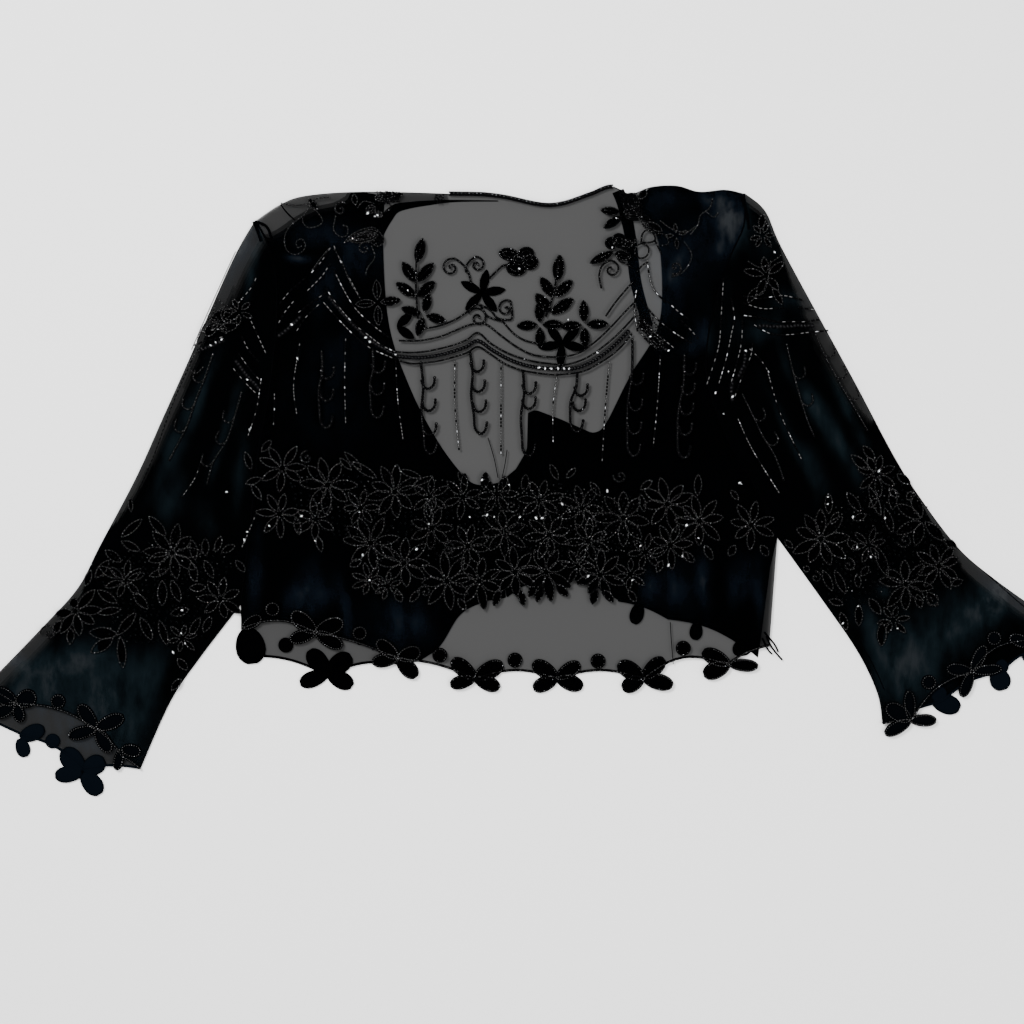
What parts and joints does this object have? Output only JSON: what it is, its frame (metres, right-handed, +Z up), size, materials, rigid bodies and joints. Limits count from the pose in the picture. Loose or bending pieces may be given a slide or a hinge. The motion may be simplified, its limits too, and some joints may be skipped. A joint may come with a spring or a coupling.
{
  "type": "beaded shrug",
  "caption": "Cropped open-front shrug of sheer black net with beaded scallops, flowers and leaf trimming, laid flat with its back up and its long flared sleeves spread.",
  "frame": {"origin": "on the surface that it lies on, below the middle of its outline", "axes": "+X towards the wearer's right sleeve, +Y from hem to neck, +Z up from the surface"},
  "size_m": [1.056, 0.6078, 0.01],
  "materials": {
    "net": "sheer matt net",
    "leaf_trim": "padded satin leaves",
    "beads": "gloss black glass beads"
  },
  "bodies": {
    "root": {"back": "net", "front_left": "net", "front_right": "net", "neck_band_left": "net", "neck_band_right": "net", "sleeve_left": "net", "sleeve_right": "net", "trim_back_hem": "leaf_trim", "trim_front_left": "leaf_trim", "trim_front_right": "leaf_trim", "trim_cuff_left_upper": "leaf_trim", "trim_cuff_left_under": "leaf_trim", "trim_cuff_right_upper": "leaf_trim", "trim_cuff_right_under": "leaf_trim", "neck_binding": "beads"}
  },
  "joints": []
}
